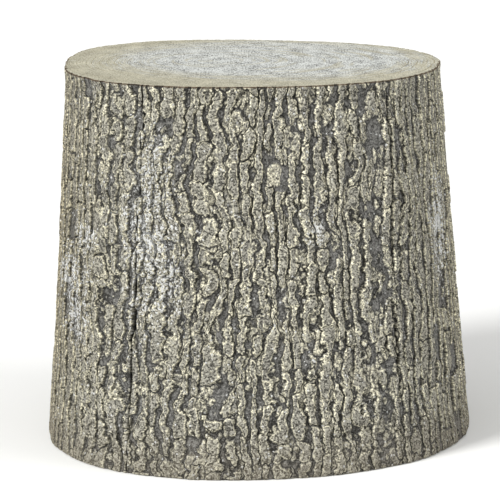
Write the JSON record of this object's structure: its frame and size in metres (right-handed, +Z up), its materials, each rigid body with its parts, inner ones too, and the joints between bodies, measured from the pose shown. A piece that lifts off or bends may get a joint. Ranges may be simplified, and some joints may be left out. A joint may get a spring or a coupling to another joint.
{
  "type": "wood log",
  "caption": "Short upright tree-trunk section with rough plated bark, sawn flat at both ends, standing on its wider end as a stool, side table or plinth.",
  "frame": {"origin": "middle of the log's bounding box, on the plane that it stands on", "axes": "+Z up along the trunk, from the wider sawn base to the narrower sawn top; -Y is the side seen first"},
  "size_m": [0.4647, 0.4922, 0.4],
  "materials": {
    "bark_and_wood": "weathered grey-olive bark with cream plate edges; sawn ends pale beige with fine growth rings"
  },
  "bodies": {
    "root": {"log": "bark_and_wood"}
  },
  "joints": []
}
